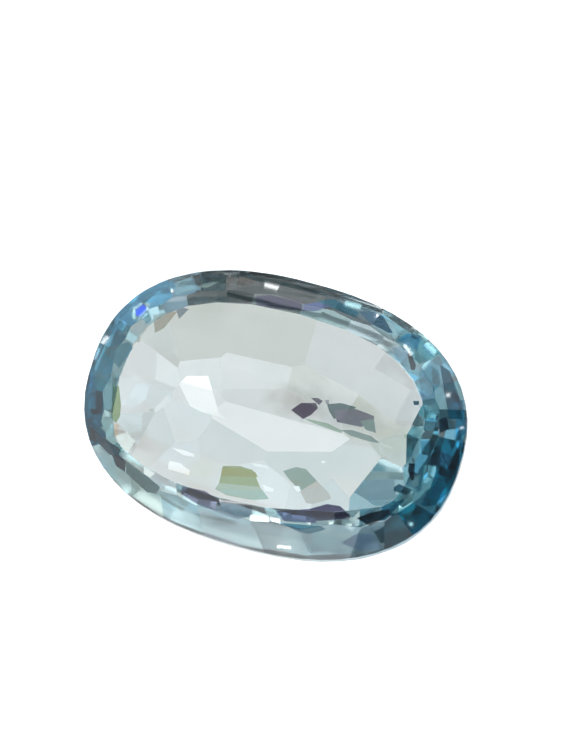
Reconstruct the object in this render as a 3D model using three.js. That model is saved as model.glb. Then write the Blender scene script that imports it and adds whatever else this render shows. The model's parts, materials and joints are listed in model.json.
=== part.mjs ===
// A faceted oval zircon, lying as a loose stone lies: on one pavilion facet beside its keel.
//
// The stone is cut from a block the way a lapidary cuts it. Each facet is one plane, set by a
// direction round the stone, a slope from the girdle plane and how deep it bites. What lies
// outside the plane is taken off. The cutting frame has the girdle in the XY plane, the length
// along X and the table up. The finished stone is then tipped onto its resting facet.
// Sizes are millimetres and angles are degrees.

import * as THREE from "three";

// Outline at the girdle: a slightly squared oval.
const LENGTH = 12.0;
const WIDTH = 8.6;
const SQUARENESS = 2.37;
const GIRDLE_THICKNESS = 0.36;
const GIRDLE_FACETS = 56;

// Crown, from the girdle up to the table: two rows that go evenly round the stone. A row's
// width is measured level, from its lower edge to its upper one, and its rise upright.
const CROWN_BREAK = { facets: 28, shift: 0, width: 0.84, rise: 0.76 };
const CROWN_STAR = { facets: 28, shift: 0.5, width: 0.44, rise: 0.22 };

// The crown is not equally wide all round. Near these directions it gains or loses a share of
// its width, and is less or more steep with it.
const UNEVEN_CROWN = [
  { direction: 228, spread: 36, share: -0.36 },
  { direction: 286, spread: 12, share: 0.14 },
  { direction: 320, spread: 28, share: -0.16 },
];

// Pavilion, from the girdle down to the keel. The first row goes evenly round the stone too.
const PAVILION_BREAK = { facets: 20, shift: 0.5, slope: 52 };

// Below it the facets are laid out by hand: long steps on the back, shorter ones on the front,
// and facets that run down to the ends of the keel. A row is set by its slope and by one level
// of its facets: the depth below the girdle that they have at an inset from the outline.
const KEEL_SLOPE = 10;
const PAVILION_STEPS = {
  backUpper: { slope: 27.5, inset: 0.75, depth: 0.96, directions: [62, 80.7, 95.5, 118] },
  backMiddle: { slope: 18, inset: 2.64, depth: 1.94, directions: [58, 83, 97, 122] },
  backKeel: { slope: KEEL_SLOPE, inset: 3.5, depth: 2.22, directions: [90] },
  leftEnd: { slope: 30, inset: 0.75, depth: 0.96, directions: [148, 172, 190, 214] },
  frontUpper: {
    slope: 23.5,
    inset: 0.75,
    depth: 1.08,
    directions: [236, 251, 263, 268.5, 272.5, 277, 285],
  },
  frontMiddle: { slope: 20, inset: 2.36, depth: 1.78, directions: [240, 262, 278, 300] },
  frontKeel: { slope: KEEL_SLOPE, inset: 3.42, depth: 2.17, directions: [270] },
  frontRight: { slope: 26, inset: 2.31, depth: 1.76, directions: [311] },
  rightUpper: { slope: 37, inset: 0.75, depth: 0.96, directions: [326, 345, 5, 28] },
  rightLower: { slope: 21, inset: 1.8, depth: 1.75, directions: [355, 28] },
  keelEnd: { slope: KEEL_SLOPE, inset: 4.32, depth: 2.34, directions: [195] },
};

// The stone lies on the keel facet that faces this way.
const RESTING_DIRECTION = 270;

// A block's face has its four corners in rows. This is their order round its rim.
const BLOCK_MARGIN = 2;
const BLOCK_RING = [0, 2, 3, 1];

const SAME_POINT = 1e-6;

const zirconMaterial = new THREE.MeshStandardMaterial({
  color: 0x8fc4d4,
  roughness: 0.05,
  metalness: 0,
});

function radians(degrees) {
  return (degrees * Math.PI) / 180;
}

// How far from the centre a straight edge facing this way touches the outline.
function reach(direction) {
  const power = SQUARENESS / (SQUARENESS - 1);
  const alongLength = Math.abs((LENGTH / 2) * Math.cos(radians(direction))) ** power;
  const acrossWidth = Math.abs((WIDTH / 2) * Math.sin(radians(direction))) ** power;
  return (alongLength + acrossWidth) ** (1 / power);
}

// Directions that share the outline out evenly between a number of facets.
function evenDirections(count, shift) {
  const power = 2 - 2 / SQUARENESS;
  return Array.from({ length: count }, (_, index) => {
    const turn = (2 * Math.PI * (index + shift)) / count;
    const x = (Math.sign(Math.cos(turn)) * Math.abs(Math.cos(turn)) ** power) / LENGTH;
    const y = (Math.sign(Math.sin(turn)) * Math.abs(Math.sin(turn)) ** power) / WIDTH;
    return (Math.atan2(y, x) * 180) / Math.PI;
  });
}

// One facet plane that faces a direction, slopes up (side 1) or down (side -1) and crosses the
// height at a distance in from the outline.
function facetPlane(direction, slope, side, inset, height) {
  const normal = new THREE.Vector3(
    Math.cos(radians(direction)) * Math.sin(radians(slope)),
    Math.sin(radians(direction)) * Math.sin(radians(slope)),
    side * Math.cos(radians(slope)),
  );
  const across = reach(direction) - inset;
  const point = new THREE.Vector3(
    across * Math.cos(radians(direction)),
    across * Math.sin(radians(direction)),
    height,
  );
  return new THREE.Plane().setFromNormalAndCoplanarPoint(normal, point);
}

// The share of its full width that the crown has in a direction.
function crownShare(direction) {
  return UNEVEN_CROWN.reduce((share, uneven) => {
    const turn = radians(direction - uneven.direction);
    const away = (Math.atan2(Math.sin(turn), Math.cos(turn)) * 180) / Math.PI;
    return share + uneven.share * Math.exp(-((away / uneven.spread) ** 2));
  }, 1);
}

// A crown row, which starts at an inset from the outline where the crown has its full width.
function crownRow(row, inset, height) {
  return evenDirections(row.facets, row.shift).map((direction) => {
    const share = crownShare(direction);
    const slope = (Math.atan2(row.rise, row.width * share) * 180) / Math.PI;
    return facetPlane(direction, slope, 1, inset * share, height);
  });
}

function crownPlanes() {
  const girdleTop = GIRDLE_THICKNESS / 2;
  const starFoot = girdleTop + CROWN_BREAK.rise;
  const table = starFoot + CROWN_STAR.rise;
  return [
    ...crownRow(CROWN_BREAK, 0, girdleTop),
    ...crownRow(CROWN_STAR, CROWN_BREAK.width, starFoot),
    new THREE.Plane(new THREE.Vector3(0, 0, 1), -table),
  ];
}

function pavilionPlanes() {
  const girdleFoot = -GIRDLE_THICKNESS / 2;
  const steps = Object.values(PAVILION_STEPS).flatMap((row) =>
    row.directions.map((direction) =>
      facetPlane(direction, row.slope, -1, row.inset, girdleFoot - row.depth),
    ),
  );
  const breakRow = evenDirections(PAVILION_BREAK.facets, PAVILION_BREAK.shift).map((direction) =>
    facetPlane(direction, PAVILION_BREAK.slope, -1, 0, girdleFoot),
  );
  return [...breakRow, ...steps];
}

function girdlePlanes() {
  return evenDirections(GIRDLE_FACETS, 0).map((direction) => facetPlane(direction, 90, 1, 0, 0));
}

// The rough: a block as a list of flat faces, each a ring of corners.
function roughBlock() {
  const block = new THREE.BoxGeometry(
    LENGTH + BLOCK_MARGIN,
    WIDTH + BLOCK_MARGIN,
    WIDTH + BLOCK_MARGIN,
  );
  const corners = block.attributes.position;
  const rings = [];
  for (let first = 0; first < corners.count; first += BLOCK_RING.length) {
    const corner = (step) => new THREE.Vector3().fromBufferAttribute(corners, first + step);
    rings.push(BLOCK_RING.map(corner));
  }
  return rings;
}

// What is left of one face behind the plane.
function trimFace(ring, plane, cut) {
  const kept = [];
  ring.forEach((from, index) => {
    const to = ring[(index + 1) % ring.length];
    const fromOutside = plane.distanceToPoint(from);
    const toOutside = plane.distanceToPoint(to);
    if (fromOutside <= SAME_POINT) {
      kept.push(from);
    }
    if (Math.abs(fromOutside) <= SAME_POINT) {
      cut.push(from);
    } else if (fromOutside * toOutside < 0 && Math.abs(toOutside) > SAME_POINT) {
      const crossing = from.clone().lerp(to, fromOutside / (fromOutside - toOutside));
      kept.push(crossing);
      cut.push(crossing);
    }
  });
  return kept;
}

function distinct(points) {
  return points.filter((point, index) =>
    points.slice(0, index).every((other) => other.distanceTo(point) > SAME_POINT),
  );
}

// Grinds one facet: trims every face to the plane and closes the stone with the new facet.
function grind(faces, plane) {
  const cut = [];
  const kept = faces
    .map((ring) => distinct(trimFace(ring, plane, cut)))
    .filter((ring) => ring.length > 2);
  const corners = distinct(cut);
  if (corners.length < 3) {
    return kept;
  }
  const centre = corners
    .reduce((sum, point) => sum.add(point), new THREE.Vector3())
    .divideScalar(corners.length);
  const right = corners[0].clone().sub(centre).normalize();
  const up = plane.normal.clone().cross(right);
  const turn = (point) => {
    const spoke = point.clone().sub(centre);
    return Math.atan2(spoke.dot(up), spoke.dot(right));
  };
  return [...kept, corners.sort((a, b) => turn(a) - turn(b))];
}

function cutStone() {
  const planes = [...girdlePlanes(), ...pavilionPlanes(), ...crownPlanes()];
  return planes.reduce((faces, plane) => grind(faces, plane), roughBlock());
}

function toGeometry(faces) {
  const positions = [];
  for (const ring of faces) {
    for (let index = 1; index < ring.length - 1; index += 1) {
      for (const point of [ring[0], ring[index], ring[index + 1]]) {
        positions.push(point.x, point.y, point.z);
      }
    }
  }
  const geometry = new THREE.BufferGeometry();
  geometry.setAttribute("position", new THREE.Float32BufferAttribute(positions, 3));
  geometry.computeVertexNormals();
  return geometry;
}

// Turns the stone so that its resting facet faces straight down, and puts the middle of its
// footprint at the origin.
function layOnRestingFacet(faces) {
  const down = facetPlane(RESTING_DIRECTION, KEEL_SLOPE, -1, 0, 0).normal;
  const turn = new THREE.Quaternion().setFromUnitVectors(down, new THREE.Vector3(0, 0, -1));
  const points = faces.flat();
  const corners = points.map((point) => point.clone().applyQuaternion(turn));
  const box = new THREE.Box3().setFromPoints(corners);
  const middle = box.getCenter(new THREE.Vector3());
  middle.z = box.min.z;
  return { turn, middle };
}

const faces = cutStone();
const { turn, middle } = layOnRestingFacet(faces);

const zircon = new THREE.Mesh(toGeometry(faces), zirconMaterial);
zircon.name = "zircon";
zircon.quaternion.copy(turn);
zircon.position.copy(middle).negate();

const group = new THREE.Group();
group.add(zircon);

export default group;
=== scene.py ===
"""A cut blue zircon on a pale light table: the stone's looks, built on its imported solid."""

import json
import math
import random

import bpy
from mathutils import Matrix, Vector

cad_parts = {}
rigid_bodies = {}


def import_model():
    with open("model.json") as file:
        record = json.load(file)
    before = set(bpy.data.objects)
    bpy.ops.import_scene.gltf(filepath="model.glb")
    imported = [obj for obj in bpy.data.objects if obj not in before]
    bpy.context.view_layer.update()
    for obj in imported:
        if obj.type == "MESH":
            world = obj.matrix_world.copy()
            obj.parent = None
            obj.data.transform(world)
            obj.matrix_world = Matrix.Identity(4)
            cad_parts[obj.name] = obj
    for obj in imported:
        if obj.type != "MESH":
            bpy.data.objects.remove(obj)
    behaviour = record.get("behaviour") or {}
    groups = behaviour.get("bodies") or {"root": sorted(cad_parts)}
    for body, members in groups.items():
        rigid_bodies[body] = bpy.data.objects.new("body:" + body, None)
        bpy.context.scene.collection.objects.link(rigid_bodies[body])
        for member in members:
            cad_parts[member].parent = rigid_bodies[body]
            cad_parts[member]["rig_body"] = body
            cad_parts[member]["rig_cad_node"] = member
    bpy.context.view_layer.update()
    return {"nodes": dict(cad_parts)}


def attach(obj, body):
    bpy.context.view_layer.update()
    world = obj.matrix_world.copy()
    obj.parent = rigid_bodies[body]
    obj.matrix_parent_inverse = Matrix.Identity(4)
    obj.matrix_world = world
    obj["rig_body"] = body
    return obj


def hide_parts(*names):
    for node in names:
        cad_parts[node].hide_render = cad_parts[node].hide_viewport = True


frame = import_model()

# Lengths are metres unless a name says millimetres, and angles are degrees.
MILLIMETRE = 0.001

# How the stone lies: its girdle plane leans this far to the front, turned about the length.
TABLE_LEAN = 10
LEAN = Matrix.Rotation(math.radians(TABLE_LEAN), 3, "X")

# The view. The eye is nearly over the table, a little to the right and to the front.
EYE_TO_THE_RIGHT = 9
EYE_TO_THE_FRONT = 10
EYE_DISTANCE = 0.12
IMAGE_WIDTH = 570
IMAGE_HEIGHT = 741
PIXELS_PER_METRE = 32170
LENGTH_TURNS_CLOCKWISE = 15.25
GIRDLE_CENTRE = Vector((0, 0, 0.0026))
GIRDLE_CENTRE_PIXEL = (275.0, 413.1)
SENSOR_WIDTH = 36
FARTHEST_SEEN = 10


# ---------------------------------------------------------------- the camera


def eye_direction():
    """From the stone to the eye, in the row frame."""
    right = math.tan(math.radians(EYE_TO_THE_RIGHT))
    front = math.tan(math.radians(EYE_TO_THE_FRONT))
    return (LEAN @ Vector((right, -front, 1))).normalized()


def picture_axes():
    """The picture's right, its up and the way to the eye, with the stone's length turned in it."""
    away = eye_direction()
    level = away.to_track_quat("Z", "Y").to_matrix()
    across, up = level.col[0], level.col[1]
    length = LEAN @ Vector((1, 0, 0))
    seen_turn = math.atan2(length.dot(up), length.dot(across))
    roll = seen_turn + math.radians(LENGTH_TURNS_CLOCKWISE)
    image_right = across * math.cos(roll) + up * math.sin(roll)
    image_up = up * math.cos(roll) - across * math.sin(roll)
    return image_right, image_up, away


def add_camera():
    """The camera, rolled so that the stone's length runs down to the right. Gives its place."""
    image_right, image_up, away = picture_axes()
    shift_right = (IMAGE_WIDTH / 2 - GIRDLE_CENTRE_PIXEL[0]) / PIXELS_PER_METRE
    shift_up = (GIRDLE_CENTRE_PIXEL[1] - IMAGE_HEIGHT / 2) / PIXELS_PER_METRE
    place = GIRDLE_CENTRE + away * EYE_DISTANCE + image_right * shift_right + image_up * shift_up
    turn = Matrix((image_right, image_up, away)).transposed()
    bpy.ops.object.camera_add(location=place, rotation=turn.to_euler())
    camera = bpy.context.object
    camera.name = "eye"
    camera.data.sensor_width = SENSOR_WIDTH
    camera.data.lens = PIXELS_PER_METRE * EYE_DISTANCE * SENSOR_WIDTH / IMAGE_HEIGHT
    camera.data.clip_start = MILLIMETRE
    camera.data.clip_end = FARTHEST_SEEN
    bpy.context.scene.camera = camera
    return place


# ---------------------------------------------------------------- the stone

# The facet rows, by how far a facet faces away from the table.
ROWS = (
    (2, "table"),
    (38.7, "star"),
    (70, "crown_break"),
    (100, "girdle"),
    (140, "pavilion_break"),
    (147, "right_upper"),
    (151, "left_end"),
    (158, "upper"),
    (165, "middle"),
    (180, "keel"),
)

# Corners closer than this many millimetres are one. So are faces that turn by fewer degrees
# than this. Below this cosine a face is a worn flat and not part of the nearest facet.
SAME_CORNER = 0.001
SAME_FACET = 0.15
SAME_DIRECTION = 0.999999

# Slopes at which the facets below the crown begin: at the girdle, and under it.
GIRDLE_SLOPE = 95
UNDERSIDE_SLOPE = 100

# Edge wear, as the widths in millimetres of the narrow flats it leaves. Most edges are still
# crisp. Near a few knocks on the crown, each given as a place and a reach, they are wider.
CROWN_WEAR = (0.006, 0.02)
PAVILION_WEAR = (0.004, 0.008)
KNOCKED_WEAR = 0.05
KNOCKS = ((4.0, 2.0, 0.9), (4.4, -2.9, 0.7), (4.9, -1.7, 0.6), (-5.0, 1.0, 0.5), (1.2, -3.4, 0.4))

# The first draw of the widths, and the power that keeps most of them narrow.
WEAR_DRAW = 7
MOSTLY_NARROW = 3

# How near to a cut, in millimetres, a corner counts as lying on it.
WEAR_CUT_REACH = 0.00001
MARK_CUT_REACH = 0.0001


def only(piece):
    """Leaves nothing but this piece selected, and makes it the active one."""
    bpy.ops.object.select_all(action="DESELECT")
    piece.select_set(True)
    bpy.context.view_layer.objects.active = piece


def copy_of_node(name, copy_name):
    """A piece of its own with a CAD node's shape, scaled up to millimetres for the work."""
    only(frame["nodes"][name])
    bpy.ops.object.duplicate()
    copy = bpy.context.object
    copy.name = copy_name
    copy.data.name = copy_name
    copy.parent = None
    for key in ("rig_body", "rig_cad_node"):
        del copy[key]
    copy.data.materials.clear()
    copy.scale = Vector((1, 1, 1)) / MILLIMETRE
    bpy.ops.object.transform_apply(location=True, rotation=True, scale=True)
    return copy


def join_facets(stone):
    """Merges the loose triangles, so that each ground facet is one flat face."""
    only(stone)
    bpy.ops.object.mode_set(mode="EDIT")
    bpy.ops.mesh.select_all(action="SELECT")
    bpy.ops.mesh.remove_doubles(threshold=SAME_CORNER)
    bpy.ops.mesh.dissolve_limited(angle_limit=math.radians(SAME_FACET))
    bpy.ops.object.mode_set(mode="OBJECT")


def slope_of(normal):
    """How far a facet faces away from the table, in degrees."""
    cosine = (LEAN.transposed() @ normal).z
    return math.degrees(math.acos(max(-1, min(1, cosine))))


def direction_of(normal):
    """Which way round the stone a facet faces, in degrees from the right end."""
    level = LEAN.transposed() @ normal
    return math.degrees(math.atan2(level.y, level.x)) % 360


def row_of(normal):
    slope = slope_of(normal)
    return next(name for limit, name in ROWS if slope <= limit)


def wear_width(middle, normals, chance):
    """The width of the worn flat along one edge."""
    drawn = chance.random()
    if all(slope_of(normal) > GIRDLE_SLOPE for normal in normals):
        narrow, wide = PAVILION_WEAR
        return narrow + (wide - narrow) * drawn
    for across, back, reach in KNOCKS:
        if math.hypot(middle.x - across, middle.y - back) < reach:
            return KNOCKED_WEAR * (0.5 + 0.5 * drawn)
    narrow, wide = CROWN_WEAR
    return narrow + (wide - narrow) * drawn**MOSTLY_NARROW


def edge_cuts(stone):
    """The plane of each edge's wear: a point on it and its outward normal."""
    chance = random.Random(WEAR_DRAW)
    mesh = stone.data
    corners = [vertex.co.copy() for vertex in mesh.vertices]
    facets_at = {}
    for facet in mesh.polygons:
        for key in facet.edge_keys:
            facets_at.setdefault(key, []).append(facet.normal.copy())
    cuts = []
    for (first, second), normals in facets_at.items():
        turn = normals[0].angle(normals[1])
        middle = (corners[first] + corners[second]) / 2
        outward = (normals[0] + normals[1]).normalized()
        depth = wear_width(middle, normals, chance) / 2 * math.tan(turn / 2)
        point = middle - outward * depth
        others = (corner for index, corner in enumerate(corners) if index not in (first, second))
        if all(outward.dot(corner - point) < 0 for corner in others):
            cuts.append((point, outward))
    return cuts


def wear_edges(stone):
    """Takes each sharp edge down to a narrow flat, as years of handling do."""
    cuts = edge_cuts(stone)
    only(stone)
    bpy.ops.object.mode_set(mode="EDIT")
    for point, outward in cuts:
        bpy.ops.mesh.select_all(action="SELECT")
        bpy.ops.mesh.bisect(
            plane_co=point,
            plane_no=outward,
            use_fill=True,
            clear_outer=True,
            threshold=WEAR_CUT_REACH,
        )
    bpy.ops.mesh.select_all(action="SELECT")
    bpy.ops.mesh.normals_make_consistent(inside=False)
    bpy.ops.object.mode_set(mode="OBJECT")


def facet_planes(stone):
    """Every facet's normal and distance, taken before the edges are worn."""
    return [(facet.normal.copy(), facet.normal.dot(facet.center)) for facet in stone.data.polygons]


# ---------------------------------------------------------------- facet tints

# The share of red, green and blue light that a facet seems to let by at a crossing. It stands
# partly for the stone's own colour there, and partly for painted shade and painted reflections
# that set how bright and what hue each facet looks.

# Clear, milky and grey.
CLEAR = (1.0, 1.0, 1.0)
ICE = (0.90, 0.90, 0.90)
PALE_ICE = (0.80, 0.81, 0.81)
MILKY = (0.74, 0.75, 0.74)
MILKY_GREEN = (0.66, 0.67, 0.64)
MILKY_SHADE = (0.62, 0.63, 0.60)
MIST = (0.72, 0.78, 0.82)
PALE_GREY = (0.67, 0.68, 0.68)
SAGE = (0.60, 0.64, 0.62)
DOVE = (0.44, 0.43, 0.41)
SMOKE = (0.34, 0.34, 0.36)
CHARCOAL = (0.16, 0.16, 0.16)
DUSK = (0.21, 0.20, 0.20)

# Warm.
WARM_CLEAR = (1.0, 0.95, 0.86)
CREAM = (0.86, 0.85, 0.78)
PEARL = (0.84, 0.80, 0.77)
PEACH = (1.0, 0.86, 0.74)
SHELL = (0.82, 0.72, 0.66)
SMOKE_BROWN = (0.62, 0.58, 0.52)
BROWN_GREY = (0.74, 0.53, 0.41)
PINK_GREY = (0.54, 0.50, 0.45)
SHADE_BROWN = (0.25, 0.22, 0.23)

# Green.
LEAF = (0.44, 0.53, 0.34)
OLIVE = (0.34, 0.38, 0.19)
OLIVE_BROWN = (0.28, 0.31, 0.11)
OLIVE_GREY = (0.44, 0.50, 0.40)
OCHRE = (0.34, 0.32, 0.11)
GREY_GREEN = (0.40, 0.50, 0.43)
FERN = (0.29, 0.35, 0.30)
SEA_SHADE = (0.22, 0.29, 0.28)
SEA = (0.44, 0.56, 0.56)

# Blue.
PALE_BLUE = (0.78, 0.88, 0.98)
BRIGHT_CYAN = (0.74, 0.98, 1.0)
FIRE_BLUE = (0.46, 0.81, 1.0)
LAKE_BLUE = (0.32, 0.67, 0.92)
DEEP_LAKE = (0.25, 0.62, 0.90)
STEEL_BLUE = (0.54, 0.71, 0.84)
DEEP_BLUE = (0.12, 0.38, 0.55)
SLATE = (0.40, 0.46, 0.52)
SOFT_SLATE = (0.33, 0.38, 0.45)
SLATE_BLUE = (0.24, 0.32, 0.45)
SLATE_SHADE = (0.19, 0.25, 0.33)
SPECTRUM_BLUE = (0.02, 0.12, 0.9)

# Teal.
PALE_TEAL = (0.60, 0.85, 0.90)
TEAL = (0.42, 0.64, 0.74)
MID_TEAL = (0.28, 0.57, 0.69)
CLEAR_TEAL = (0.16, 0.52, 0.61)
SEA_TEAL = (0.13, 0.43, 0.54)
GREY_TEAL = (0.27, 0.46, 0.49)
DEEP_TEAL = (0.18, 0.38, 0.48)
NIGHT_TEAL = (0.06, 0.28, 0.39)
DARK_TEAL = (0.10, 0.22, 0.28)
DEEP_SEA = (0.01, 0.19, 0.28)
DEEP_SHADE = (0.02, 0.11, 0.15)
TEAL_SHADE = (0.12, 0.17, 0.18)

# Violet and near black.
LAVENDER_GREY = (0.56, 0.58, 0.65)
VIOLET = (0.20, 0.22, 0.38)
SOFT_PLUM = (0.32, 0.27, 0.38)
DUSKY_PLUM = (0.22, 0.19, 0.25)
PLUM = (0.15, 0.14, 0.23)
DARK_REFLECTION_GREY = (0.18, 0.17, 0.22)
DARK_REFLECTION = (0.13, 0.11, 0.16)
INDIGO = (0.02, 0.06, 0.09)

# Round the stone from the right end, in degrees: what each facet row tends to, its painted shade
# and painted reflections included.
STAR_TINTS = (
    (0, DEEP_TEAL),
    (6, TEAL),
    (23, TEAL),
    (39, DEEP_BLUE),
    (54, PALE_TEAL),
    (67, CLEAR),
    (78, MIST),
    (87, SEA),
    (93, DOVE),
    (102, SHADE_BROWN),
    (113, DUSK),
    (126, SLATE),
    (141, CLEAR),
    (157, SHELL),
    (174, SHELL),
    (186, SHELL),
    (203, PEACH),
    (219, PEACH),
    (234, PEACH),
    (247, PEACH),
    (258, CLEAR),
    (273, CLEAR),
    (282, MIST),
    (293, MIST),
    (306, DEEP_BLUE),
    (321, DEEP_SEA),
    (337, BRIGHT_CYAN),
    (354, DEEP_TEAL),
    (360, DEEP_TEAL),
)
BREAK_TINTS = (
    (0, DEEP_SHADE),
    (14, SMOKE),
    (31, CLEAR),
    (47, PALE_BLUE),
    (61, BRIGHT_CYAN),
    (73, ICE),
    (83, SMOKE),
    (90, DUSK),
    (97, CHARCOAL),
    (107, DUSK),
    (119, LAVENDER_GREY),
    (133, LAKE_BLUE),
    (149, DEEP_LAKE),
    (166, SEA_TEAL),
    (180, CLEAR_TEAL),
    (194, NIGHT_TEAL),
    (211, DEEP_SEA),
    (227, SHELL),
    (241, WARM_CLEAR),
    (253, PEACH),
    (263, CLEAR),
    (270, CLEAR),
    (277, ICE),
    (287, MIST),
    (299, SLATE),
    (313, DEEP_SHADE),
    (329, DEEP_SEA),
    (346, DEEP_TEAL),
    (360, DEEP_SHADE),
)
LEFT_TINTS = (
    (0, MILKY),
    (148, MILKY_GREEN),
    (172, PALE_ICE),
    (190, PALE_ICE),
    (214, MILKY),
    (360, MILKY),
)
RIGHT_TINTS = ((0, CLEAR), (5, CLEAR), (28, CLEAR), (345, DEEP_SHADE), (360, CLEAR))
UPPER_TINTS = (
    (0, MILKY),
    (62, PALE_GREY),
    (81, PALE_GREY),
    (95, MILKY_SHADE),
    (118, MILKY_SHADE),
    (236, MILKY),
    (251, PALE_ICE),
    (263, PALE_ICE),
    (272, ICE),
    (285, MILKY),
    (311, BROWN_GREY),
    (360, BROWN_GREY),
)
MIDDLE_TINTS = (
    (0, MILKY_GREEN),
    (28, MILKY_GREEN),
    (58, MILKY_GREEN),
    (97, PALE_ICE),
    (122, PALE_GREY),
    (240, PALE_ICE),
    (262, MILKY),
    (300, MILKY),
    (355, SAGE),
    (360, SAGE),
)
KEEL_TINTS = ((0, PALE_ICE), (90, PALE_ICE), (180, PALE_ICE), (210, ICE), (270, ICE), (360, ICE))
GIRDLE_TINTS = (
    (0, DEEP_TEAL),
    (180, TEAL),
    (220, ICE),
    (270, ICE),
    (310, MID_TEAL),
    (360, MID_TEAL),
)
EDGE_TINTS = ((0, TEAL), (180, TEAL), (220, ICE), (280, ICE), (310, TEAL), (360, TEAL))
ROW_TINTS = {
    "table": ((0, CLEAR), (360, CLEAR)),
    "star": STAR_TINTS,
    "crown_break": BREAK_TINTS,
    "girdle": GIRDLE_TINTS,
    "pavilion_break": EDGE_TINTS,
    "right_upper": RIGHT_TINTS,
    "left_end": LEFT_TINTS,
    "upper": UPPER_TINTS,
    "middle": MIDDLE_TINTS,
    "keel": KEEL_TINTS,
}

# The pavilion lets by a little less than its tints say.
PAVILION_ROWS = ("right_upper", "left_end", "upper", "middle", "keel")
PAVILION_SHARE = 0.92

# The polish, as roughness: each row's, the softer break facets' between two directions at the
# front, the worn flats', which are also a little paler, and that of a few painted marks.
ROW_ROUGHNESS = {"star": 0.05, "crown_break": 0.07, "girdle": 0.25}
SOFT_FRONT = (215, 300)
SOFT_FRONT_ROUGHNESS = 0.16
WORN_ROUGHNESS = 0.2
WORN_GAIN = 1.1
DULL = 0.5
POLISHED = 0.02
PAINTED_MARK_ROUGHNESS = {
    "left_foot": DULL,
    "front_shadow": DULL,
    "front_indigo": DULL,
    "front_moss": DULL,
    "front_flat": POLISHED,
}


def facet_roughness(normal):
    """A row's polish. The break facets at the front are softer."""
    row = row_of(normal)
    first, last = SOFT_FRONT
    if row == "crown_break" and first <= direction_of(normal) <= last:
        return SOFT_FRONT_ROUGHNESS
    return ROW_ROUGHNESS.get(row, 0)


def blend(first, second, share):
    return tuple(a + (b - a) * share for a, b in zip(first, second))


def tint_round(stops, direction):
    """The tint at a direction, blended between the stops on either side of it."""
    for (low, before), (high, after) in zip(stops, stops[1:]):
        if low <= direction <= high:
            return blend(before, after, (direction - low) / (high - low))


# A facet's tint: the stone's colour together with painted shade and painted reflections.
def facet_tint(normal):
    row = row_of(normal)
    share = PAVILION_SHARE if row in PAVILION_ROWS else 1
    return tuple(part * share for part in tint_round(ROW_TINTS[row], direction_of(normal)))


def crossing(share):
    """The base colour that lets this share by, since a shader takes its root at a crossing."""
    return tuple(min(1, part) ** 2 for part in share)
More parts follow.
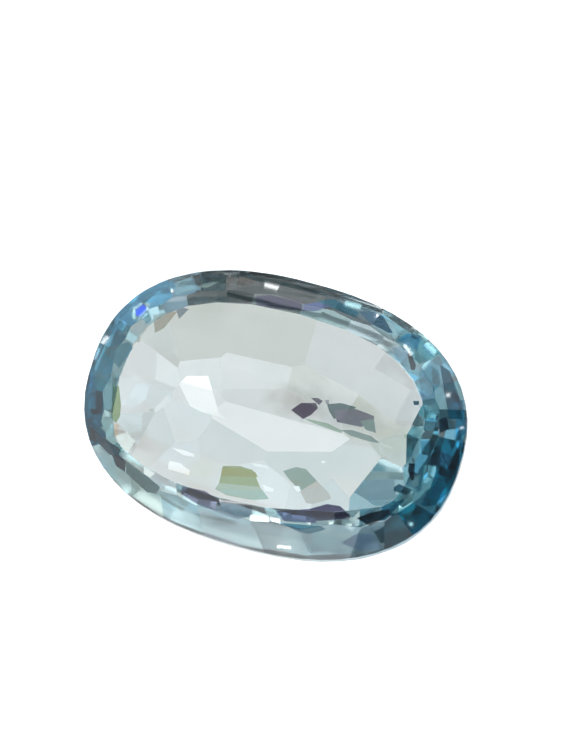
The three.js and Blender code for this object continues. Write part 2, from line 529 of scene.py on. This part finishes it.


# Crisp painted marks of reflection, shade and highlight on the crown, each a name, the share of
# light that it lets by, and its outline in the picture.
CROWN_PAINTED_MARKS = (
    # The front rim, from the left end to the right.
    ("left_foot", INDIGO, ((89, 424), (97, 432), (101, 443), (91, 441))),
    (
        "front_shadow",
        DEEP_SHADE,
        ((94, 432), (107, 440), (120, 449), (119, 455), (110, 455), (98, 443)),
    ),
    ("front_indigo", INDIGO, ((112, 455), (119, 455), (126, 461), (125, 472), (116, 466))),
    (
        "front_moss",
        SEA_SHADE,
        ((126, 461), (147, 476), (160, 487), (157, 494), (147, 492), (126, 473)),
    ),
    ("front_mist", SHELL, ((156, 493), (162, 487), (176, 494), (190, 503), (186, 508), (169, 500))),
    ("streak_short", PINK_GREY, ((159, 494), (185, 509), (182, 511), (162, 499))),
    ("streak_long", SAGE, ((195, 513), (237, 521), (236, 525), (197, 516))),
    (
        "plum_left",
        SOFT_PLUM,
        ((182, 486), (205, 491), (217, 499), (215, 511), (199, 505), (181, 494)),
    ),
    (
        "plum_blue",
        SOFT_SLATE,
        ((217, 499), (233, 501), (252, 505), (252, 516), (237, 519), (215, 511)),
    ),
    ("front_lavender", CLEAR, ((252, 505), (276, 510), (277, 516), (253, 515))),
    ("violet", VIOLET, ((276, 511), (309, 509), (317, 513), (316, 523), (284, 521))),
    ("plum_right", PLUM, ((309, 509), (327, 504), (340, 506), (351, 516), (344, 519), (317, 521))),
    ("front_teal", NIGHT_TEAL, ((281, 523), (320, 526), (326, 529), (310, 534), (299, 532))),
    ("front_flat", CLEAR, ((275, 544), (293, 546), (293, 551), (275, 549))),
    (
        "front_dark",
        INDIGO,
        ((357, 518), (370, 513), (389, 509), (391, 514), (370, 526), (361, 521)),
    ),
    ("front_olive", DEEP_SHADE, ((374, 532), (393, 521), (406, 523), (407, 529), (381, 544))),
    ("front_slate", SLATE_BLUE, ((341, 543), (356, 534), (373, 534), (383, 549), (361, 551))),
    ("front_steel", NIGHT_TEAL, ((384, 505), (404, 499), (404, 503), (391, 511))),
    ("front_blue", DEEP_SHADE, ((401, 516), (421, 506), (421, 513), (407, 519))),
    # The right end.
    ("right_blue", DEEP_SEA, ((437, 469), (459, 469), (454, 486), (434, 506), (421, 506))),
    ("pale_stroke", PALE_TEAL, ((424, 465), (436, 466), (436, 471), (430, 489), (421, 491))),
    ("pale_branch", PALE_TEAL, ((413, 493), (427, 489), (421, 497), (396, 514), (391, 513))),
    ("right_corner", INDIGO, ((429, 454), (439, 451), (454, 457), (451, 467), (434, 466))),
    ("right_edge", DEEP_BLUE, ((457, 400), (463, 400), (466, 429), (460, 454), (455, 443))),
    ("right_dark", INDIGO, ((439, 419), (447, 417), (449, 429), (440, 433))),
    ("right_light", PALE_TEAL, ((419, 406), (437, 404), (440, 414), (426, 421))),
    ("right_shade", DEEP_TEAL, ((421, 441), (433, 440), (434, 451), (427, 461), (421, 457))),
    (
        "right_glass",
        MID_TEAL,
        ((419, 372), (430, 365), (439, 371), (440, 385), (427, 399), (420, 388)),
    ),
    ("right_deep", DEEP_SEA, ((440, 365), (450, 371), (461, 402), (463, 419), (449, 419))),
    ("blob_right", INDIGO, ((409, 463), (415, 464), (414, 480), (411, 480), (408, 471))),
    ("blob_foot", DARK_TEAL, ((394, 487), (399, 484), (413, 490), (407, 495), (394, 491))),
    # The back rim, from the right end to the left.
    ("net_upper", PALE_BLUE, ((403, 368), (426, 367), (425, 370), (404, 371))),
    ("net_lower", PALE_TEAL, ((413, 371), (417, 371), (421, 391), (418, 391))),
    ("indigo_stroke", INDIGO, ((407, 353), (411, 353), (416, 365), (415, 370), (411, 370))),
    ("steel_fan", STEEL_BLUE, ((393, 348), (404, 346), (408, 353), (407, 365), (396, 359))),
    ("cyan_upper", FIRE_BLUE, ((421, 343), (431, 345), (437, 353), (431, 356), (424, 351))),
    ("cyan_lower", CLEAR, ((416, 362), (427, 361), (426, 368), (417, 368))),
    ("slate_patch", LAKE_BLUE, ((397, 340), (407, 333), (421, 336), (420, 342), (417, 351))),
    (
        "slate_line",
        SLATE_SHADE,
        ((359, 312), (370, 311), (383, 316), (393, 333), (389, 333), (370, 323)),
    ),
    ("slate_tail", DARK_TEAL, ((317, 301), (334, 299), (359, 312), (356, 318), (339, 311))),
    ("back_lavender", VIOLET, ((303, 305), (317, 302), (331, 306), (317, 311), (303, 311))),
    (
        "back_plum",
        DUSKY_PLUM,
        ((256, 296), (270, 295), (301, 302), (303, 311), (270, 308), (256, 305)),
    ),
    ("back_smoke", CHARCOAL, ((197, 290), (255, 291), (253, 302), (199, 301), (190, 299))),
    ("back_slate", DUSK, ((192, 275), (219, 273), (260, 278), (259, 286), (219, 288), (197, 286))),
    ("back_stroke", PINK_GREY, ((197, 287), (213, 281), (219, 282), (207, 288))),
    ("back_mist", MIST, ((176, 276), (190, 279), (197, 289), (176, 295), (175, 288))),
    # The left end.
    ("left_blue", LAKE_BLUE, ((146, 291), (173, 281), (176, 288), (147, 301))),
    ("left_deep", NIGHT_TEAL, ((113, 328), (140, 303), (150, 298), (140, 310), (121, 326))),
    ("left_sky", DEEP_LAKE, ((117, 315), (133, 312), (133, 321), (119, 329), (115, 322))),
    ("left_night", NIGHT_TEAL, ((109, 334), (120, 321), (125, 324), (117, 335))),
    ("left_sage", MILKY_GREEN, ((124, 333), (135, 329), (140, 333), (140, 342), (130, 343))),
    ("left_shade", GREY_TEAL, ((105, 348), (129, 342), (133, 348), (119, 368), (105, 353))),
    ("left_glass", MID_TEAL, ((92, 353), (100, 353), (113, 368), (109, 382), (93, 376))),
    ("left_leaf", LEAF, ((113, 386), (119, 386), (121, 405), (120, 416), (116, 423), (111, 418))),
    ("left_olive", SMOKE_BROWN, ((153, 315), (178, 311), (164, 328), (155, 333))),
    ("left_brown", SLATE, ((175, 306), (189, 309), (179, 319))),
    ("left_edge", DEEP_BLUE, ((88, 375), (94, 375), (95, 391), (88, 396))),
    ("left_dot", INDIGO, ((90, 409), (97, 409), (97, 414), (92, 414))),
    # A painted flash of blue fire, with an untinted rim round it.
    ("fire_rim", CLEAR, ((132, 308), (142, 302), (150, 303), (149, 311), (139, 321), (133, 320))),
    ("fire_heart", SPECTRUM_BLUE, ((135, 310), (144, 304), (147, 308), (137, 317))),
    ("left_peach", PEACH, ((100, 427), (119, 424), (117, 437), (110, 437))),
)
# Painted reflections, highlights and shade on the pavilion, seen through the table.
TABLE_PAINTED_MARKS = (
    (
        "white_window",
        CLEAR,
        ((179, 384), (187, 376), (208, 376), (216, 403), (218, 412), (202, 412), (190, 406)),
    ),
    ("window_tail", ICE, ((202, 412), (218, 412), (226, 419))),
    ("sparkle", CLEAR, ((321, 461), (325, 461), (325, 463), (322, 463))),
    ("olive", OLIVE, ((223, 466), (240, 466), (253, 470), (260, 487), (219, 483))),
    ("olive_shadow", OLIVE_BROWN, ((223, 466), (231, 466), (233, 474), (221, 475))),
    ("olive_top", OCHRE, ((222, 468), (240, 468), (255, 472), (258, 477), (221, 476))),
    ("olive_lower", OLIVE_GREY, ((219, 483), (260, 487), (263, 491), (215, 489))),
    ("olive_foot", GREY_GREEN, ((215, 489), (263, 491), (269, 499), (252, 500), (226, 495))),
    ("green_slant", FERN, ((283, 471), (296, 467), (306, 469), (317, 481), (300, 491), (289, 479))),
    (
        "pink_slant",
        PINK_GREY,
        ((300, 491), (317, 481), (329, 493), (331, 499), (313, 504), (306, 503)),
    ),
    ("bright_streak", CLEAR, ((172, 448), (183, 450), (194, 454), (194, 457), (183, 455))),
    ("bright_flake", CLEAR, ((169, 461), (180, 463), (190, 471), (189, 475), (168, 469))),
    ("bright_corner", CLEAR, ((262, 484), (274, 489), (273, 492), (265, 491))),
    ("bright_edge", CLEAR, ((293, 486), (299, 486), (301, 491), (297, 492))),
    ("bright_line", ICE, ((251, 463), (267, 465), (269, 469), (255, 466))),
    ("stripe_upper", GREY_GREEN, ((303, 418), (327, 423), (343, 431), (341, 433), (313, 423))),
    ("stripe", SEA_SHADE, ((341, 430), (352, 430), (371, 436), (380, 443), (371, 442), (351, 436))),
    ("stripe_end", SAGE, ((380, 443), (393, 447), (391, 449), (383, 446))),
    # A dark painted reflection of the surroundings over the keel, in pieces.
    ("veil_left", DARK_REFLECTION, ((291, 410), (301, 403), (316, 403), (318, 408), (311, 415), (303, 419))),
    ("veil_peak", DARK_REFLECTION, ((311, 398), (318, 398), (323, 401), (319, 405))),
    ("veil_spot", SMOKE, ((325, 400), (329, 400), (329, 404), (326, 404))),
    (
        "veil_top",
        TEAL_SHADE,
        ((327, 404), (341, 403), (356, 407), (351, 414), (334, 419), (329, 411)),
    ),
    (
        "veil_middle",
        DARK_REFLECTION_GREY,
        ((334, 410), (356, 409), (374, 416), (374, 422), (361, 427), (337, 422)),
    ),
    ("veil_right", SEA_SHADE, ((360, 421), (374, 419), (376, 433), (366, 430))),
    ("blob_upper", INDIGO, ((413, 401), (419, 401), (419, 405), (414, 405))),
    ("blob_middle", CHARCOAL, ((417, 421), (422, 423), (420, 427), (417, 426))),
    ("blob_lower", GREY_GREEN, ((404, 434), (409, 434), (409, 439), (404, 438))),
    ("blob_front", DEEP_SHADE, ((387, 483), (399, 484), (413, 490), (407, 495), (394, 491))),
    (
        "peach_left",
        PINK_GREY,
        ((112, 429), (122, 430), (134, 437), (135, 445), (129, 452), (119, 447)),
    ),
    ("left_speck", SAGE, ((149, 409), (155, 409), (154, 412), (150, 412))),
)


def eye_ray(pixel):
    """The way from the eye through a place in the picture."""
    image_right, image_up, away = picture_axes()
    right = (pixel[0] - IMAGE_WIDTH / 2) / PIXELS_PER_METRE / EYE_DISTANCE
    up = (IMAGE_HEIGHT / 2 - pixel[1]) / PIXELS_PER_METRE / EYE_DISTANCE
    return (image_right * right + image_up * up - away).normalized()


def refracted(ray, normal):
    """The way that light takes inside the stone."""
    ratio = 1 / ZIRCON_IOR
    cosine = -ray.dot(normal)
    return ray * ratio + normal * (ratio * cosine - math.sqrt(1 - ratio**2 * (1 - cosine**2)))


def table_met(planes, eye, pixel):
    """Where a line of sight meets the table, and its way inside."""
    normal, distance = next(plane for plane in planes if row_of(plane[0]) == "table")
    ray = eye_ray(pixel)
    travel = (distance - normal.dot(eye)) / normal.dot(ray)
    return eye + ray * travel, refracted(ray, normal)


def place_under_table(planes, eye, pixel):
    """The place on the pavilion that is seen through the table at a place in the picture."""
    start, way = table_met(planes, eye, pixel)
    below = ((normal, distance) for normal, distance in planes if normal.dot(way) > 0)
    travel = min((distance - normal.dot(start)) / normal.dot(way) for normal, distance in below)
    return start + way * travel


def outline_sides(starts, ways):
    """The flat side that stands on each line of an outline, facing out of it."""
    middle = sum(starts, Vector()) / len(starts)
    sides = []
    for index, start in enumerate(starts):
        outward = (starts[index - 1] - start).cross(ways[index]).normalized()
        if outward.dot(middle - start) > 0:
            outward = -outward
        sides.append((start, outward))
    return sides


def crown_painted_mark(eye, name, share, outline):
    """A painted mark on the crown: its name, its share, where it lies, its sides."""
    ways = [eye_ray(pixel) for pixel in outline]
    starts = [eye + way * EYE_DISTANCE / MILLIMETRE for way in ways]
    return name, share, True, outline_sides(starts, ways)


def table_painted_mark(planes, eye, name, share, outline):
    """A painted mark on the pavilion, seen through the table."""
    seen = [table_met(planes, eye, pixel) for pixel in outline]
    starts = [start for start, way in seen]
    return name, share, False, outline_sides(starts, [way for start, way in seen])


def faces_up(normal):
    return slope_of(normal) < UNDERSIDE_SLOPE


def inside(place, sides):
    return all(outward.dot(place - start) < 0 for start, outward in sides)


def select_under(stone, on_crown, sides):
    """Selects the faces that a painted mark may cross."""
    mesh = stone.data
    corners = [vertex.co for vertex in mesh.vertices]
    for face in mesh.polygons:
        face.select = faces_up(face.normal) == on_crown and all(
            any(outward.dot(corners[index] - start) < 0 for index in face.vertices)
            for start, outward in sides
        )


def cut_marks(stone, marks):
    """Draws the outline of each painted mark on the faces that it crosses."""
    only(stone)
    bpy.ops.object.mode_set(mode="EDIT")
    bpy.ops.mesh.select_mode(type="FACE")
    for name, share, on_crown, sides in marks:
        for start, outward in sides:
            bpy.ops.mesh.select_all(action="DESELECT")
            bpy.ops.object.mode_set(mode="OBJECT")
            select_under(stone, on_crown, sides)
            bpy.ops.object.mode_set(mode="EDIT")
            bpy.ops.mesh.bisect(plane_co=start, plane_no=outward, threshold=MARK_CUT_REACH)
    bpy.ops.object.mode_set(mode="OBJECT")


def finish_facets(stone, planes, marks):
    """Gives each face its tint and its polish, as attributes that the material reads."""
    finishes = [
        (normal, distance, facet_tint(normal), facet_roughness(normal))
        for normal, distance in planes
    ]
    mesh = stone.data
    tints = mesh.attributes.new("facet_tint", "FLOAT_COLOR", "CORNER")
    polish = mesh.attributes.new("facet_roughness", "FLOAT", "FACE")
    for face in mesh.polygons:
        near = sorted(finishes, key=lambda facet: abs(facet[0].dot(face.center) - facet[1]))
        normal, distance, tint, roughness = near[0]
        if normal.dot(face.normal) < SAME_DIRECTION:
            tint = tuple(part * WORN_GAIN for part in blend(tint, near[1][2], 0.5))
            roughness = WORN_ROUGHNESS
        # Painted marks put their painted shade and reflection in place of the facet's tint.
        for name, share, on_crown, sides in marks:
            if faces_up(face.normal) == on_crown and inside(face.center, sides):
                tint = share
                roughness = PAINTED_MARK_ROUGHNESS.get(name, roughness)
        for corner in face.loop_indices:
            tints.data[corner].color = (*crossing(tint), 1)
        polish.data[face.index].value = roughness


# ---------------------------------------------------------------- shader maths


class Shade:
    """What a node's socket gives, so that shader maths reads as plain sums."""

    def __init__(self, nodes, socket):
        self.nodes = nodes
        self.socket = socket

    def maths(self, operation, *values):
        return self.nodes.add("ShaderNodeMath", {"operation": operation}, dict(enumerate(values)))

    def __add__(self, other):
        return self.maths("ADD", self, other)

    def __radd__(self, other):
        return self.maths("ADD", other, self)

    def __sub__(self, other):
        return self.maths("SUBTRACT", self, other)

    def __rsub__(self, other):
        return self.maths("SUBTRACT", other, self)

    def __mul__(self, other):
        return self.maths("MULTIPLY", self, other)

    def __rmul__(self, other):
        return self.maths("MULTIPLY", other, self)

    def step(self, low, high):
        """0 below low, 1 above high, and smooth between them."""
        return self.nodes.add(
            "ShaderNodeMapRange",
            {"interpolation_type": "SMOOTHSTEP"},
            {"Value": self, "From Min": low, "From Max": high},
        )


# A colour Mix node's sockets: its two colours, and its result.
MIX_FIRST = 6
MIX_SECOND = 7
MIX_RESULT = 2


class Nodes:
    """A material's or world's node tree."""

    def __init__(self, owner):
        owner.use_nodes = True
        self.tree = owner.node_tree
        self.tree.nodes.clear()

    def add(self, kind, settings=None, inputs=None, output=0):
        """One node: its settings first, then its sockets' values or links. Gives one output."""
        node = self.tree.nodes.new(kind)
        for name, value in (settings or {}).items():
            if name == "stops":
                set_stops(node.color_ramp, value)
            else:
                setattr(node, name, value)
        for name, value in (inputs or {}).items():
            if isinstance(value, Shade):
                self.tree.links.new(value.socket, node.inputs[name])
            else:
                node.inputs[name].default_value = value
        return Shade(self, node.outputs[output]) if node.outputs else node

    def mix(self, share, first, second, way="MIX"):
        """Two colours mixed. A plain colour has three parts here."""
        settings = {"data_type": "RGBA", "blend_type": way, "clamp_factor": True}
        colours = {MIX_FIRST: first, MIX_SECOND: second}
        inputs = {0: share}
        for index, colour in colours.items():
            inputs[index] = colour if isinstance(colour, Shade) else (*colour, 1)
        return self.add("ShaderNodeMix", settings, inputs, output=MIX_RESULT)

    def attribute(self, name, output):
        return self.add("ShaderNodeAttribute", {"attribute_name": name}, output=output)

    def shifted(self, place, wander, reach):
        """A place moved by up to half a reach either way, as a noise's colour says."""
        centred = self.add(
            "ShaderNodeVectorMath", {"operation": "SUBTRACT"}, {0: wander, 1: (0.5, 0.5, 0.5)}
        )
        return self.add(
            "ShaderNodeVectorMath",
            {"operation": "MULTIPLY_ADD"},
            {0: centred, 1: (reach, reach, reach), 2: place},
        )


def set_stops(ramp, stops):
    """Gives a colour ramp its stops, each a place and a colour of three parts."""
    while len(ramp.elements) > 1:
        ramp.elements.remove(ramp.elements[0])
    for index, (place, colour) in enumerate(stops):
        element = ramp.elements[0] if index == 0 else ramp.elements.new(place)
        element.position = place
        element.color = (*colour, 1)


# ---------------------------------------------------------------- the zircon's material

ZIRCON_IOR = 1.93
BODY_TINT = (0.10, 0.81, 0.875, 1)
BODY_DENSITY = 20

# Soft patches of painted shade and painted reflection under the table, each a name, its middle
# in the picture, its half length and width in millimetres, its turn in the picture, the share of
# light that it lets by, how much of it shows, and how soft its edge is. They are drawn on the
# pavilion, which the table shows.
PAINTED_PATCH_THICKNESS = 0.6
SOFT_PAINTED_PATCHES = (
    ("veil_halo", (297, 401), (0.75, 0.4), 8, SMOKE_BROWN, 0.6, 0.9),
    ("veil_smoke", (345, 417), (1.4, 0.45), 15, SAGE, 0.45, 0.8),
    ("olive_haze", (203, 471), (0.55, 0.5), -5, WARM_CLEAR, 0.8, 0.6),
    ("cream_right", (395, 441), (0.65, 0.5), 15, CREAM, 0.7, 0.6),
    ("warm_left", (133, 437), (0.6, 0.35), 15, PEARL, 0.7, 0.7),
)

# How the soft painted patches' edges are torn: by how much, and by how fine a noise, in grains
# to the metre.
PAINTED_PATCH_FRAY = 0.8 * MILLIMETRE
PAINTED_PATCH_GRAIN = 2500

# A faint haze all over: its grain, where it begins and is full, its share and its tint.
HAZE_GRAIN = 700
HAZE_RANGE = (0.35, 0.75)
HAZE_SHARE = 0.25
HAZE_TINT = (0.75, 0.82, 0.83)

# The polish's faint ripple: its grain, its share and its height.
RIPPLE_GRAIN = 900
RIPPLE_SHARE = 0.02
RIPPLE_HEIGHT = 0.03 * MILLIMETRE


def add_painted_patch(nodes, place, tint, painted_patch, middle):
    """A tint with one soft patch of painted shade and reflection laid over it."""
    name, pixel, half, turn, share, strength, softness = painted_patch
    local = nodes.add(
        "ShaderNodeMapping",
        {"vector_type": "TEXTURE", "label": name},
        {
            "Vector": place,
            "Location": middle * MILLIMETRE,
            "Rotation": (0, 0, -math.radians(turn - LENGTH_TURNS_CLOCKWISE)),
            "Scale": Vector((*half, PAINTED_PATCH_THICKNESS)) * MILLIMETRE,
        },
    )
    reach = nodes.add("ShaderNodeVectorMath", {"operation": "LENGTH"}, {0: local}, output=1)
    outside = reach.step(1 - softness, 1 + softness)
    return nodes.mix((1 - outside) * strength, tint, crossing(share), "MULTIPLY")


def zircon_material(painted_patch_middles):
    """Clear blue crystal with painted shade and reflections in its tints, torn and dark over the
    keel.
    """
    material = bpy.data.materials.new("cut_zircon")
    nodes = Nodes(material)
    place = nodes.add("ShaderNodeTexCoord", output="Object")
    tint = nodes.attribute("facet_tint", "Color")
    roughness = nodes.attribute("facet_roughness", "Fac")
    wander = nodes.add(
        "ShaderNodeTexNoise", {}, {"Vector": place, "Scale": PAINTED_PATCH_GRAIN, "Detail": 3}, output=1
    )
    torn = nodes.shifted(place, wander, PAINTED_PATCH_FRAY)
    for painted_patch, middle in zip(SOFT_PAINTED_PATCHES, painted_patch_middles):
        tint = add_painted_patch(nodes, torn, tint, painted_patch, middle)
    haze = nodes.add(
        "ShaderNodeTexNoise",
        {},
        {"Vector": place, "Scale": HAZE_GRAIN, "Detail": 3, "Roughness": 0.6},
    )
    hazy = nodes.mix(haze.step(*HAZE_RANGE) * HAZE_SHARE, tint, HAZE_TINT, "MULTIPLY")
    ripple = nodes.add(
        "ShaderNodeTexNoise", {}, {"Vector": place, "Scale": RIPPLE_GRAIN, "Detail": 2}
    )
    relief = nodes.add(
        "ShaderNodeBump",
        {},
        {"Height": ripple, "Strength": RIPPLE_SHARE, "Distance": RIPPLE_HEIGHT},
    )
    surface = nodes.add(
        "ShaderNodeBsdfPrincipled",
        {},
        {
            "Base Color": hazy,
            "Roughness": roughness,
            "Normal": relief,
            "Transmission Weight": 1,
            "IOR": ZIRCON_IOR,
        },
    )
    body = nodes.add(
        "ShaderNodeVolumeAbsorption", {}, {"Color": BODY_TINT, "Density": BODY_DENSITY}
    )
    nodes.add("ShaderNodeOutputMaterial", {}, {"Surface": surface, "Volume": body})
    return material


def make_stone(eye):
    """The whole stone, with its worn edges, in place of the CAD solid. Gives its facets."""
    stone = copy_of_node("zircon", "cut_zircon")
    join_facets(stone)
    planes = facet_planes(stone)
    wear_edges(stone)
    marks = [crown_painted_mark(eye, *mark) for mark in CROWN_PAINTED_MARKS]
    marks += [table_painted_mark(planes, eye, *mark) for mark in TABLE_PAINTED_MARKS]
    cut_marks(stone, marks)
    finish_facets(stone, planes, marks)
    stone.scale = Vector((1, 1, 1)) * MILLIMETRE
    only(stone)
    bpy.ops.object.transform_apply(location=True, rotation=True, scale=True)
    middles = [place_under_table(planes, eye, painted_patch[1]) for painted_patch in SOFT_PAINTED_PATCHES]
    stone.data.materials.append(zircon_material(middles))
    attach(stone, "root")
    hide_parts("zircon")
    return planes


# ---------------------------------------------------------------- floor, sky and lights

WHITE = (1, 1, 1)

# The light table: how far below the resting facet it lies, its own grey, and its glow.
FLOOR_SIZE = 2
FLOOR_DROP = 0.00002
FLOOR_GREY = (0.5, 0.5, 0.5, 1)
FLOOR_ROUGHNESS = 0.9
FLOOR_GLOW = 0.98
FLOOR_FAR_GLOW = (0.3, 0.31, 0.32)
# The lit part of the floor is a rectangle with soft edges, square to the picture.
LIT_MIDDLE = Vector((0.0045, 0.003, 0))
LIT_HALF = (0.0147, 0.0165, 1)
LIT_FADE = (1, 1.12)

# The soft room: its grey, and its soft windows, each an azimuth from the right end, a height and
# a half width in degrees, the share of that over which its edge fades, and its brightness.
ROOM_GREY = 0.10
ROOM_TINT = (0.95, 0.98, 1.0, 1)
WINDOWS = (
    (72, 46, 22, 0.5, 1.0),
    (86, 73, 14, 0.5, 0.8),
    (145, 32, 18, 0.5, 0.8),
    (168, 27, 12, 0.5, 0.65),
    (-165, 18, 10, 0.5, 1.2),
    (-153, 10, 5, 0.5, 1.4),
    (-140, 45, 16, 0.5, 2.6),
    (-117, 21, 10, 0.5, 2.9),
    (-104, 31, 5, 0.5, 0.6),
    (-101, 0, 7, 0.5, 2.4),
    (-98, 14, 7, 0.5, 1.5),
    (-93, 38, 7, 0.5, 0.5),
    (-90, 4, 14, 0.6, 0.9),
    (-80, 67, 13, 0.5, 1.6),
    (-79, 12, 5, 0.5, 0.6),
    (-60, 18, 9, 0.5, 3.0),
    (43, 15, 6, 0.5, 0.5),
    (60, 5, 11, 0.5, 0.8),
    (100, 22, 8, 0.5, 2.4),
)


def add_floor():
    """A white light table, a hair below the stone, lit round the stone and dim far off."""
    bpy.ops.mesh.primitive_plane_add(size=FLOOR_SIZE, location=(0, 0, -FLOOR_DROP))
    floor = bpy.context.object
    floor.name = "light_table"
    material = bpy.data.materials.new("light_table")
    nodes = Nodes(material)
    place = nodes.add("ShaderNodeTexCoord", output="Object")
    turn = math.radians(LENGTH_TURNS_CLOCKWISE)
    local = nodes.add(
        "ShaderNodeMapping",
        {"vector_type": "TEXTURE"},
        {
            "Vector": place,
            "Location": Matrix.Rotation(turn, 3, "Z") @ LIT_MIDDLE,
            "Rotation": (0, 0, turn),
            "Scale": LIT_HALF,
        },
    )
    across, up = (
        nodes.add("ShaderNodeSeparateXYZ", {}, {0: local}, output=index) for index in range(2)
    )
    reach = across.maths("MAXIMUM", across.maths("ABSOLUTE", across), up.maths("ABSOLUTE", up))
    glow = nodes.mix(reach.step(*LIT_FADE), WHITE, FLOOR_FAR_GLOW)
    surface = nodes.add(
        "ShaderNodeBsdfPrincipled",
        {},
        {
            "Base Color": FLOOR_GREY,
            "Roughness": FLOOR_ROUGHNESS,
            "Emission Color": glow,
            "Emission Strength": FLOOR_GLOW,
        },
    )
    nodes.add("ShaderNodeOutputMaterial", {}, {"Surface": surface})
    floor.data.materials.append(material)


def add_sky():
    """A soft grey room with soft windows."""
    world = bpy.data.worlds.new("soft_room")
    bpy.context.scene.world = world
    nodes = Nodes(world)
    direction = nodes.add("ShaderNodeTexCoord", output="Generated")
    strength = ROOM_GREY
    for azimuth, height, half_width, fade, brightness in WINDOWS:
        turn, rise = math.radians(azimuth), math.radians(height)
        aim = (math.cos(turn) * math.cos(rise), math.sin(turn) * math.cos(rise), math.sin(rise))
        facing = nodes.add(
            "ShaderNodeVectorMath", {"operation": "DOT_PRODUCT"}, {0: direction, 1: aim}, output=1
        )
        edge = math.cos(math.radians(half_width * (1 + fade / 2)))
        core = math.cos(math.radians(half_width * (1 - fade / 2)))
        strength = strength + facing.step(edge, core) * brightness
    light = nodes.add("ShaderNodeBackground", {}, {"Color": ROOM_TINT, "Strength": strength})
    nodes.add("ShaderNodeOutputWorld", {}, {"Surface": light})


# Small lamps that the crown facets mirror as glints. Each is a name, its glint's place in the
# picture, the glint's length and width in millimetres, its turn, its colour and its brightness.
LAMP_DISTANCE = 0.005
CYAN = (0.55, 0.95, 1)
PALE_FIRE = (0.45, 0.75, 1)
DEEP_FIRE = (0, 0.06, 1)
GLINTS = (
    ("back_bar", (274, 287), (0.6, 0.1), -14, WHITE, 10),
    ("front_bar", (260, 519), (0.62, 0.18), -7, WHITE, 10),
    ("front_bar_end", (274, 521), (0.36, 0.18), -7, WHITE, 10),
    ("table_line", (243, 503), (1.6, 0.06), -6, WHITE, 6),
    ("front_dash", (284, 547), (0.42, 0.09), -5, WHITE, 9),
    ("cyan_streak", (353, 305), (0.5, 0.13), -14, CYAN, 7),
    ("cyan_glow", (431, 348), (0.42, 0.16), -45, CYAN, 7),
    ("cyan_tail", (428, 362), (0.5, 0.06), 50, CYAN, 5),
    ("white_streak", (408, 350), (0.4, 0.08), -55, WHITE, 10),
    ("back_dot", (378, 316), (0.12, 0.09), -20, WHITE, 12),
    ("fire_core", (141, 311), (0.34, 0.17), 42, DEEP_FIRE, 8),
    ("fire_upper", (138, 306), (0.32, 0.05), 34, PALE_FIRE, 6),
    ("fire_lower", (143, 317), (0.34, 0.05), 42, PALE_FIRE, 8),
    ("fire_left", (134, 314), (0.28, 0.05), 84, CYAN, 7),
    ("fire_right", (148, 307), (0.22, 0.05), 80, PALE_FIRE, 7),
    ("right_dot", (448, 395), (0.09, 0.09), 0, WHITE, 12),
    ("right_spark", (461, 431), (0.08, 0.08), 0, WHITE, 12),
    ("front_spark", (411, 524), (0.09, 0.09), 0, CYAN, 12),
    ("left_streak", (104, 341), (0.38, 0.1), 50, WHITE, 8),
    ("left_hair", (97, 354), (0.4, 0.05), 68, PALE_FIRE, 7),
    ("left_dot", (171, 291), (0.12, 0.08), 20, WHITE, 10),
)


def facet_met(planes, start, ray):
    """The facet that a ray meets first: its normal and the place, in millimetres."""
    best, met = -1, None
    for normal, distance in planes:
        slant = normal.dot(ray)
        if slant < 0:
            travel = (distance - normal.dot(start)) / slant
            if travel > best:
                best, met = travel, normal
    return met, start + ray * best


def add_glint_lamps(planes, eye):
    """Puts each small lamp where its facet mirrors it to the eye."""
    image_right, image_up, away = picture_axes()
    for name, pixel, size, turn, colour, brightness in GLINTS:
        ray = eye_ray(pixel)
        normal, point = facet_met(planes, eye, ray)
        out = ray.reflect(normal)
        slant = math.radians(turn)
        long_way = (image_right * math.cos(slant) + image_up * math.sin(slant)).reflect(normal)
        side = out.cross(long_way).normalized()
        matrix = Matrix((side.cross(out), side, out)).transposed()
        location = point * MILLIMETRE + out * LAMP_DISTANCE
        growth = 1 + LAMP_DISTANCE / EYE_DISTANCE
        bpy.ops.object.light_add(type="AREA", location=location, rotation=matrix.to_euler())
        lamp = bpy.context.object
        lamp.name = name
        lamp.visible_camera = False
        lamp.data.shape = "RECTANGLE"
        lamp.data.size = size[0] * growth * MILLIMETRE
        lamp.data.size_y = size[1] * growth * MILLIMETRE
        lamp.data.color = colour
        lamp.data.energy = brightness * math.pi * lamp.data.size * lamp.data.size_y


LIGHT_BOUNCES = 32


def set_picture():
    """Plain colours, and enough bounces for light to leave the stone."""
    scene = bpy.context.scene
    scene.view_settings.view_transform = "Standard"
    scene.cycles.max_bounces = LIGHT_BOUNCES
    scene.cycles.transmission_bounces = LIGHT_BOUNCES
    scene.cycles.glossy_bounces = LIGHT_BOUNCES


eye_place = add_camera() / MILLIMETRE
facets = make_stone(eye_place)
add_floor()
add_sky()
add_glint_lamps(facets, eye_place)
set_picture()
